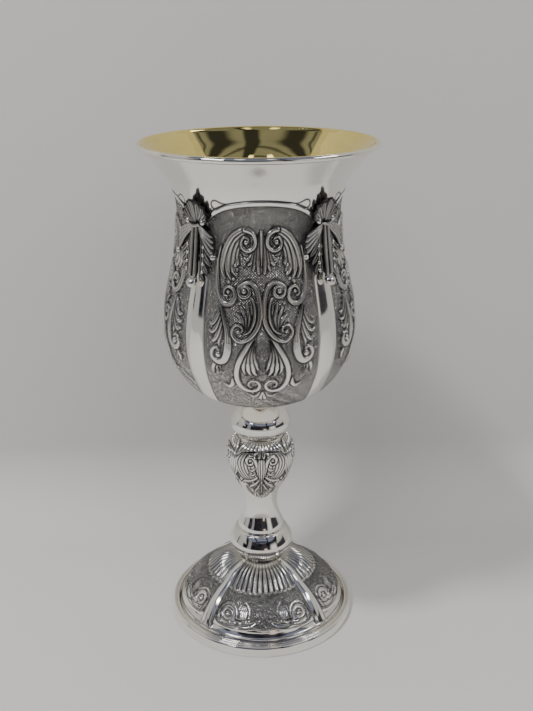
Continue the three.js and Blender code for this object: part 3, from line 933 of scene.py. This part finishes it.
def foot_ornament(r):
    """Swags, an upright leaf, a volute beside each rib and small rings on the middle line."""
    # swags under the ornament
    r.ribbon(
        [(3.0, 18.6), (6.5, 16.4), (11, 15.4), (15.5, 16.2)], (0.5, 1.3, 1.4, 0.6), form="flat",
        height=0.6,
    )
    r.ribbon(
        [(14.5, 15.6), (18.5, 14.9), (23, 15.2), (26.4, 17.2)], (0.6, 1.1, 1.1, 0.6), form="flat",
        height=0.5,
    )
    # upright leaves
    r.ribbon(
        [(11.2, 18.4), (11.4, 22.4), (11.2, 26.6)], (1.6, 2.7, 0.6), height=0.6, reeds=(-0.45, 0.0, 0.45),
    )
    leaf = [(8.6, 18.2), (8.0, 21), (8.5, 24.4), (11.2, 27.2), (13.9, 24.6), (14.6, 21.2), (14.2, 18)]
    r.ribbon(leaf, (0.45, 0.6, 0.6, 0.6, 0.45), form="round", height=0.7)
    for k in range(3):
        r.ribbon(
            [(7.4 + 1.6 * k, 18.6 - 0.5 * k), (9.6 + 1.5 * k, 17.0 - 0.3 * k), (13 + 1.2 * k, 17.3)],
            (0.5, 0.75, 0.4), height=0.5,
        )
    # big volutes beside the ribs
    r.ribbon(spiral(20.6, 20.0, 5.4, -150, -0.62, 0.95), (0.5, 0.8, 0.8, 0.5), height=0.55)
    volute = spiral(20.8, 19.4, 3.9, 230, -1.5, 0.3, 18)
    r.ribbon(
        [(15.0, 16.2), (16.2, 16.6)] + volute, (0.7, 1.3, 1.4, 1.3, 1.1, 0.8, 0.6), form="flat",
        height=0.75,
    )
    r.boss(20.6, 19.6, 1.5, 0.9)
    r.ribbon([(24.8, 14.4), (25.8, 18), (26.2, 21.4)], (0.6, 0.9, 0.4), height=0.5)
    # rings
    for cx, cs in ((2.15, 21.4), (0.0, 16.6)):
        r.ribbon(spiral(cx, cs, 1.5, 90, 1.02, 1.0, 20), 0.5, form="round", height=0.6, line=0.22)
        r.boss(cx, cs, 0.75, 0.6, 0.2)
    r.ribbon([(1.4, 19.4), (3.2, 18.2), (4.4, 19.8)], (0.3, 0.6, 0.3), height=0.4)


def foot_border(r):
    """The plain swell under the field, its border and two fine lines over the ring."""
    s = r.S
    inside = np.abs(r.X) < FOOT_EDGE - 0.2
    contour = [(-2, 13.7), (0, 13.7), (5, 14.2), (11, 13.4), (18, 12.9), (24, 13.3), (FOOT_EDGE - 0.3, 14.6)]
    r.groove(contour, 0.24, 0.2, 0.9)
    r.h += 0.35 * np.exp(-((s - 11.6) / 1.6) ** 2) * inside
    for level, depth in ((9.4, 0.22), (7.9, 0.22)):
        line = np.exp(-((s - level) / 0.24) ** 2)
        r.h -= depth * line
        r.dark = np.maximum(r.dark, 0.8 * line)
    edge = [(FOOT_EDGE + 0.1, v) for v in (10.2, 20, 36, 53.5)]
    r.groove(edge, 0.3, 0.25, 0.95)


def foot_relief():
    r = Relief(31.6, 6.4, 53.8, margin=2.0, line=0.28)
    foot_ground(r)
    foot_ornament(r)
    foot_border(r)
    r.soften()
    return r


FOOT_SHEET = 1.3
CHASING_DEPTH = 0.5


def make_foot():
    """The dome is spun from sheet, so its plain inside follows the outline a sheet's thickness in."""
    relief = foot_relief()
    surface = carved(foot_outline, relief, FOOT_R, 6.6, 53.6, lambda s: FOOT_CHART - s, foot_lobes)
    phis = np.linspace(0, -2 * PI, 640, endpoint=False)
    rows = np.linspace(0, foot_outline.length, 140)
    back = np.linspace(foot_outline.length, 0, 12)
    r, z, nr, nz = foot_outline.at(back)
    sheet = FOOT_SHEET + CHASING_DEPTH
    r = np.maximum(r - FOOT_LOBE * foot_lobing(r) - sheet * np.abs(nr), BORE_R + 1.0)
    z = z - sheet * np.abs(nz)
    z[0], z[-1] = DOME[-1][1], DOME[0][1] - FOOT_SHEET
    bore = [(BORE_R, z[-1]), (BORE_R, DOME[0][1])]
    inner = list(zip(r, z)) + bore
    obj = closed_shell("chased_foot", surface, phis, rows, inner, chased, radius=-FOOT_R)
    place(obj, "foot_dome")


# ---- cast leaf mounts -------------------------------------------------------------------------
MOUNT_R = 42.0
MOUNT_SINK = 1.0              # how far a mount follows its flute inwards


def strip_frames(tangents):
    """Directions across a strip, carried along it without twist, and off the wall, one for each tangent."""
    across = np.zeros_like(tangents)
    a = np.array([tangents[0, 1], -tangents[0, 0], 0.0])
    for i, direction in enumerate(tangents):
        a = a - direction * a.dot(direction)
        a /= np.linalg.norm(a)
        across[i] = a
    up = np.cross(across, tangents)
    if up[0, 2] < 0:
        return -across, -up
    return across, up


class Cast:
    """Closed leaves and beads gathered into one casting. Local axes: across, up the bowl, off its wall."""

    def __init__(self):
        self.points, self.faces, self.dark = [], [], []

    def _add(self, points, faces, dark):
        base = sum(len(p) for p in self.points)
        self.points.append(points)
        self.dark.append(dark)
        self.faces += [[base + i for i in f] for f in faces]

    def leaf(self, path, widths, reeds=1, rise=0.9, thick=0.7, side=1, depth=0.42):
        """A tapered strip with rounded reeds running along it."""
        p = catmull(path, 0.45)
        p[:, 0] *= side
        u = np.concatenate([[0], np.cumsum(np.linalg.norm(np.diff(p, axis=0), axis=1))])
        u /= u[-1]
        w = np.interp(u, np.linspace(0, 1, len(widths)), widths)
        tip = np.sqrt(np.clip(1 - (np.clip(u - 0.86, 0, None) / 0.14) ** 2, 0.01, 1))
        w = w * tip
        t = np.gradient(p, axis=0)
        t /= np.linalg.norm(t, axis=1, keepdims=True)
        across, up = strip_frames(t)
        v = np.linspace(-1, 1, 4 * reeds + 7)
        rib = np.abs(np.sin(PI * reeds * (v + 1) / 2)) ** 0.6 if reeds > 1 else np.ones_like(v)
        body = np.sqrt(np.clip(1 - v ** 2, 0, 1))
        height = rise * body * (1 - depth + depth * rib)
        under = np.linspace(0.8, -0.8, 4)
        rows = []
        for i in range(len(p)):
            scale = min(1.0, w[i] / max(widths) + 0.15)
            top = p[i] + np.outer(v * w[i], across[i]) + np.outer(height * scale, up[i])
            low = p[i] + np.outer(under * w[i], across[i]) - thick * scale * up[i]
            rows.append(np.vstack([top, low]))
        n = len(v) + len(under)
        faces = grid_faces(len(rows), n, True).tolist()
        faces += [list(range(n))[::-1], [(len(rows) - 1) * n + k for k in range(n)]]
        # painted shade: every strip's underside is nearly black; on top, oxide darkens the grooves between
        # reeds, and the strip darkens towards its two edges
        groove = (1 - rib) * 1.2 + 0.8 * np.abs(v) ** 3
        shade = np.concatenate([np.clip(0.50 + groove, 0, 0.97), np.full(len(under), 0.95)])
        self._add(np.vstack(rows), faces, np.tile(shade, len(rows)))

    def bead(self, centre, radius, stretch=1.0):
        """A small ball, stretched up the bowl."""
        rings, sides = 12, 20
        lat = np.linspace(-PI / 2, PI / 2, rings + 1)[1:-1]
        lon = np.linspace(0, 2 * PI, sides, endpoint=False)
        la, lo = np.meshgrid(lat, lon, indexing="ij")
        ball = np.stack([np.cos(la) * np.cos(lo), np.sin(la) * stretch, np.cos(la) * np.sin(lo)], -1)
        ball = ball.reshape(-1, 3)
        points = np.vstack([ball, [(0, -stretch, 0), (0, stretch, 0)]]) * radius + np.array(centre)
        faces = [f[::-1] for f in grid_faces(rings - 1, sides, True).tolist()]
        low, high, last = len(ball), len(ball) + 1, (rings - 2) * sides
        for k in range(sides):
            faces.append([low, k, (k + 1) % sides])
            faces.append([high, last + (k + 1) % sides, last + k])
        self._add(points, faces, np.full(len(points), 0.18))


def leaf_mount(spread_left, spread_right):
    """One acanthus mount: a leaning crest over a tie, two long reeds to a ball, and a bundle on each side."""
    c = Cast()
    for side in (-1, 1):
        # crest fronds, the outer ones first so that the inner ones lie over them
        for lean, length, root in ((66, 6.2, 2.2), (48, 7.8, 1.9), (30, 9.2, 1.3), (13, 10.2, 0.6)):
            out = math.radians(lean)
            x1, z1 = root + length * math.sin(out) * 0.55, 221.3 + length * 0.55 * math.cos(out * 0.75)
            x2, z2 = root + length * math.sin(out) * 0.85, 221.3 + length * math.cos(out)
            over = 0.9 + length * 0.13
            frond = [
                (root * 0.7, 221.2, 0.9), (x1, z1, 1.0 + length * 0.07), (x2, z2, over),
                (x2 * 1.05, z2 - 0.7, over + 1.0),
            ]
            c.leaf(frond, (0.9, 1.35, 1.75, 1.7, 1.1), 3, 0.95, side=side)
        c.bead((4.7 * side, 222.2, 2.0), 1.15, 1.3)
    c.leaf(
        [(0, 221.2, 1.2), (0, 226.8, 1.9), (0, 231.2, 2.6), (0, 232.4, 3.2), (0, 231.8, 3.9)],
        (1.0, 1.6, 2.0, 1.9, 1.2), 5, 1.1,
    )
    for side in (-1, 1):
        reach = spread_left if side < 0 else spread_right
        # broad lobed leaf behind the reeds
        for lean, low, wide in ((9.4, 207.6, 1.5), (8.6, 203.9, 1.5), (7.4, 200.2, 1.4), (5.6, 196.8, 1.2)):
            lobe = [
                (2.2, low + 8.5, 1.0), (4.2, low + 5.6, 1.4), (lean * 0.75, low + 2.4, 1.7), (lean, low, 1.9),
                (lean + 0.2, low - 0.9, 2.4),
            ]
            c.leaf(lobe, (0.8, 1.3, wide, wide, 0.8), 2, 0.9, side=side)
        c.leaf(
            [(2.8, 218.6, 1.3), (4.4, 210.5, 1.9), (4.4, 203.5, 2.0), (3.3, 197.2, 1.7)],
            (0.8, 1.3, 1.5, 1.0), 2, 0.9, side=side,
        )
        for z in (211.5, 207.6, 203.8, 200.2):
            c.bead((5.0 * side, z, 2.4), 0.75, 1.2)
        # bundle of long reeds running out to a small ball
        for k, (tu, tz) in enumerate(((11.6, 216.2), (12.4, 213.8), (12.6, 211.2), (12.0, 208.8))):
            tu *= reach
            ru, rz = 1.9 + 0.15 * k, 221.3 - 0.75 * k
            bend = (ru * 0.5 + tu * 0.5 - 0.3, rz * 0.5 + tz * 0.5 + 0.5, 2.5)
            c.leaf([(ru, rz, 1.7), bend, (tu, tz, 2.0)], (0.55, 0.9, 1.05, 1.0), 1, 1.1, side=side)
        c.bead((12.4 * reach * side, 207.4, 2.6), 1.3)
        # one of the two long reeds
        c.leaf(
            [(1.1, 221.2, 1.7), (1.25, 213, 2.3), (1.3, 204, 2.6), (1.3, 196.6, 2.7)],
            (0.85, 1.05, 1.15, 1.15, 1.0), 1, 1.4, side=side,
        )
    c.leaf([(-3.4, 221.3, 2.4), (0, 220.6, 3.2), (3.4, 221.3, 2.4)], (0.6, 0.9, 0.8), 1, 0.8)
    c.bead((0, 194.9, 3.0), 2.5)
    c.leaf([(-2.4, 196.8, 2.5), (0, 197.6, 3.8), (2.4, 196.8, 2.5)], (0.5, 0.7, 0.6), 1, 0.6)
    return c


def make_mounts():
    """Four castings, one over each flute, bent to the bowl; their bundles spread a little differently."""
    spreads = [(1.0, 1.0), (0.9, 0.95), (0.95, 1.0), (1.0, 0.85)]
    for k, spread in enumerate(spreads):
        c = leaf_mount(*spread)
        local = np.vstack(c.points)
        phi = (k + 0.5) * SECTOR + local[:, 0] / MOUNT_R
        s = np.interp(local[:, 1], bowl_outline.p[:, 1], bowl_outline.s)
        r, z, _, _ = bowl_outline.at(s)
        points = around(r - MOUNT_SINK * bowl_lobing(z) + local[:, 2], phi, z)
        obj = mesh_object(f"leaf_mount_{k + 1}", points, c.faces, cast, {"patina_and_painted_shade": np.concatenate(c.dark)})
        place(obj, f"acanthus_mount_{k + 1}")


make_bowl()
make_rim()
make_liner()
make_turned_parts()
make_knop()
make_foot()
make_mounts()


# ---- stage, camera, light ---------------------------------------------------------------------
CAMERA_DISTANCE = 433.0
CAMERA_HEIGHT = 310.04
CAMERA_PITCH = math.radians(20.666)
CAMERA_YAW = math.radians(1.5)
CAMERA_ROLL = math.radians(0.43)


def make_camera():
    data = bpy.data.cameras.new("camera")
    data.lens = 46.24
    data.sensor_width = 36
    data.sensor_fit = "AUTO"
    data.shift_x = 0.00937
    data.clip_start = 0.01
    data.clip_end = 30
    obj = bpy.data.objects.new("camera", data)
    bpy.context.scene.collection.objects.link(obj)
    forward = Vector((
        math.sin(CAMERA_YAW) * math.cos(CAMERA_PITCH), math.cos(CAMERA_YAW) * math.cos(CAMERA_PITCH),
        -math.sin(CAMERA_PITCH),
    ))
    right = Vector((math.cos(CAMERA_YAW), -math.sin(CAMERA_YAW), 0))
    up = right.cross(forward)
    turn = Matrix.Rotation(CAMERA_ROLL, 3, forward)
    right, up = turn @ right, turn @ up
    basis = Matrix((right, up, -forward)).transposed().to_4x4()
    back = Vector((-math.sin(CAMERA_YAW), -math.cos(CAMERA_YAW), 0)) * CAMERA_DISTANCE
    place_at = back + Vector((0, 0, CAMERA_HEIGHT))
    obj.matrix_world = Matrix.Translation(place_at * MM) @ basis
    bpy.context.scene.camera = obj


TABLE = (0.60, 0.59, 0.562, 1)


def stage_material(name, one_way=False):
    """Matt pale board. A one-way piece is clear from behind, so that views from the back aren't blocked."""
    n = Nodes(name)
    mottle = n.noise(3.0, 2, 0.5)
    shade = tuple(c * 0.97 for c in TABLE[:3]) + (1,)
    n.set(n.shader, "Base Color", n.mix(mottle, TABLE, shade))
    n.set(n.shader, "Roughness", 0.75)
    n.set(n.shader, "Normal", n.bump(n.noise(700, 2, 0.5), 0.03, 0.0005))
    if one_way:
        behind = n.add("ShaderNodeNewGeometry").outputs["Backfacing"]
        clear = n.add("ShaderNodeBsdfTransparent")
        mix = n.add("ShaderNodeMixShader", {0: behind, 1: n.shader.outputs[0], 2: clear.outputs[0]})
        n.tree.links.new(mix.outputs[0], n.tree.nodes["Material Output"].inputs["Surface"])
    return n.material


def make_stage():
    """A pale table top that sweeps up into a backdrop, and a floor just below it that goes on behind."""
    front, bend, radius, top, half = -470.0, 62.0, 46.0, 430.0, 900.0
    turn = np.linspace(0, PI / 2, 24)
    line = [(front, 0.0)] + [(bend + radius * math.sin(a), radius * (1 - math.cos(a))) for a in turn]
    line += [(bend + radius, top)]
    line = np.array(line)
    xs = np.linspace(-half, half, 13)
    points = np.array([[(x, y, z) for x in xs] for y, z in line])
    faces = grid_faces(len(line), len(xs))
    sweep = mesh_object("backdrop", points, faces, stage_material("backdrop", True))
    ys = np.linspace(bend, 1400.0, 5)
    points = np.array([[(x, y, -0.4) for x in xs] for y in ys])
    floor = mesh_object("floor_behind", points, grid_faces(len(ys), len(xs)), stage_material("floor"))


def area_light(name, azimuth, elevation, distance, width, height, power, mirrored):
    """A rectangular softbox aimed at the bowl. Azimuth 0 is the camera's side, positive to its right.

    A mirrored one is seen in the metal and leaves the backdrop alone; any other only lights the scene.
    """
    data = bpy.data.lights.new(name, "AREA")
    data.shape = "RECTANGLE"
    data.size, data.size_y = width, height
    data.energy = power
    obj = bpy.data.objects.new(name, data)
    bpy.context.scene.collection.objects.link(obj)
    a, e = math.radians(azimuth), math.radians(elevation)
    away = Vector((math.sin(a) * math.cos(e), -math.cos(a) * math.cos(e), math.sin(e)))
    obj.location = Vector((0, 0, 0.14)) + away * distance
    obj.rotation_euler = away.to_track_quat("Z", "Y").to_euler()
    obj.visible_glossy = mirrored
    obj.visible_diffuse = not mirrored


class Surroundings(Tree):
    """What the metal mirrors, by direction: a bearing from the camera's side and a height, in degrees."""

    def __init__(self, tree):
        super().__init__(tree)
        direction = self.add("ShaderNodeTexCoord").outputs["Generated"]
        blur = self.add("ShaderNodeTexNoise", {"Vector": direction, "Scale": 3.0, "Detail": 2.0})
        self.cloud = blur.outputs[0]
        bent = self.add("ShaderNodeSeparateXYZ", {0: self.mix(0.10, direction, blur.outputs["Color"])})
        self.axes = self.add("ShaderNodeSeparateXYZ", {0: direction})
        degrees = 180 / PI
        turn = self.math("ARCTAN2", bent.outputs["X"], self.math("MULTIPLY", bent.outputs["Y"], -1))
        self.bearing = self.math("MULTIPLY", turn, degrees)
        self.height = self.math("MULTIPLY", self.math("ARCSINE", self.axes.outputs["Z"]), degrees)
        up = self.math("MAXIMUM", self.axes.outputs["Z"], 0.15)
        self.ceiling_x = self.math("DIVIDE", self.axes.outputs["X"], up)
        self.ceiling_y = self.math("DIVIDE", self.axes.outputs["Y"], up)

    def patch(self, azimuth, elevation, wide, tall, edge):
        """1 inside a soft-edged rectangle of directions."""
        across = self.math("ABSOLUTE", self.math("SUBTRACT", self.bearing, azimuth))
        upright = self.math("ABSOLUTE", self.math("SUBTRACT", self.height, elevation))
        columns = self.ramp(across, wide + edge, wide - edge)
        return self.math("MULTIPLY", columns, self.ramp(upright, tall + edge, tall - edge))

    def bars(self, value, pitch, low, high):
        """0 along each bar and 1 between bars."""
        wave = self.math("SINE", self.math("MULTIPLY", value, pitch))
        return self.ramp(self.math("ABSOLUTE", wave), low, high)

    def room(self):
        """A dark room with a pale doorway and pillar on one side and a warm lit patch on the other."""
        room = self.mix(self.ramp(self.cloud, 0.40, 0.62), (0.010, 0.010, 0.014, 1), (0.040, 0.038, 0.043, 1))
        room = self.mix(self.patch(-85, 4, 13, 20, 3), room, (0.42, 0.43, 0.42, 1))
        room = self.mix(self.patch(-45, 10, 7, 26, 2), room, (0.26, 0.26, 0.29, 1))
        room = self.mix(self.patch(48, 6, 11, 13, 5), room, (0.80, 0.79, 0.75, 1))
        return self.mix(self.patch(19, 0, 5, 9, 3), room, (0.90, 0.66, 0.56, 1))

    def ceiling(self):
        """Pale boards between dark beams, and two bright roof lights."""
        slope = self.math("ADD", self.ceiling_x, self.math("MULTIPLY", self.ceiling_y, 0.45))
        beams = self.bars(self.ceiling_y, 1.9, 0.10, 0.24)
        between = self.math("MULTIPLY", self.bars(slope, 2.6, 0.16, 0.30), beams)
        boards = self.bars(self.ceiling_y, 16.0, 0.10, 0.55)
        slats = self.mix(boards, (0.075, 0.082, 0.11, 1), (0.23, 0.25, 0.33, 1))
        ceiling = self.mix(between, (0.034, 0.037, 0.055, 1), slats)
        ceiling = self.mix(self.patch(-26, 63, 7, 6, 2), ceiling, (2.6, 2.6, 2.5, 1))
        return self.mix(self.patch(27, 64, 6, 5, 2), ceiling, (2.6, 2.6, 2.5, 1))

    def opening(self):
        """1 where the tent is open to the room: all round the front near the floor, narrowing overhead."""
        low = self.math("SUBTRACT", self.math("ABSOLUTE", self.math("ADD", self.bearing, 19.0)), 115.0)
        aside = self.math("ABSOLUTE", self.ceiling_x)
        overhead = self.math("ADD", aside, self.math("MULTIPLY", self.ceiling_y, 1.086))
        back = self.math("SUBTRACT", self.ceiling_y, 0.55)
        overhead = self.math("MAXIMUM", self.math("SUBTRACT", overhead, 0.944), back)
        is_low = self.ramp(self.height, 18, 12)
        return self.mix(is_low, self.ramp(overhead, 0.03, -0.03), self.ramp(low, 1.5, -1.5))


def make_world():
    """A pale tent round the sides and back, open to a dim room in front; the camera sees it as plain."""
    world = bpy.data.worlds.new("studio")
    bpy.context.scene.world = world
    world.use_nodes = True
    world.node_tree.nodes.clear()
    w = Surroundings(world.node_tree)
    dim = w.mix(w.ramp(w.height, 26, 30), w.room(), w.ceiling())
    tent = w.mix(w.ramp(w.axes.outputs["Z"], -0.2, 0.9), (0.41, 0.40, 0.385, 1), (0.59, 0.575, 0.55, 1))
    around_it = w.mix(w.opening(), tent, dim)
    around_it = w.mix(w.ramp(w.height, -1, -3), around_it, (0.46, 0.46, 0.44, 1))
    seen = w.add("ShaderNodeLightPath").outputs["Is Camera Ray"]
    colour = w.mix(seen, around_it, (0.42, 0.42, 0.41, 1))
    shader = w.add("ShaderNodeBackground", {"Color": colour, "Strength": 1.0})
    output = w.add("ShaderNodeOutputWorld")
    w.tree.links.new(shader.outputs[0], output.inputs[0])


make_camera()
make_stage()
make_world()
area_light("key_left", -49, 44, 1.3, 0.40, 0.17, 3.2, True)
area_light("key_sharp", -58, 62, 1.3, 0.16, 0.12, 10, False)
area_light("key_right", 72, 42, 1.4, 0.52, 0.16, 2.6, True)
area_light("top_fill", 175, 75, 1.3, 1.2, 0.8, 4, False)
area_light("front_fill", 8, 50, 1.7, 2.2, 1.2, 19, False)

special = {"bowl_liner": gilt, "tie_rod": brass, "foot_nut": brass, "foot_washer": brass}
for node_name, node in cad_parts.items():
    for slot in node.material_slots:
        slot.material = special.get(node_name, polished)
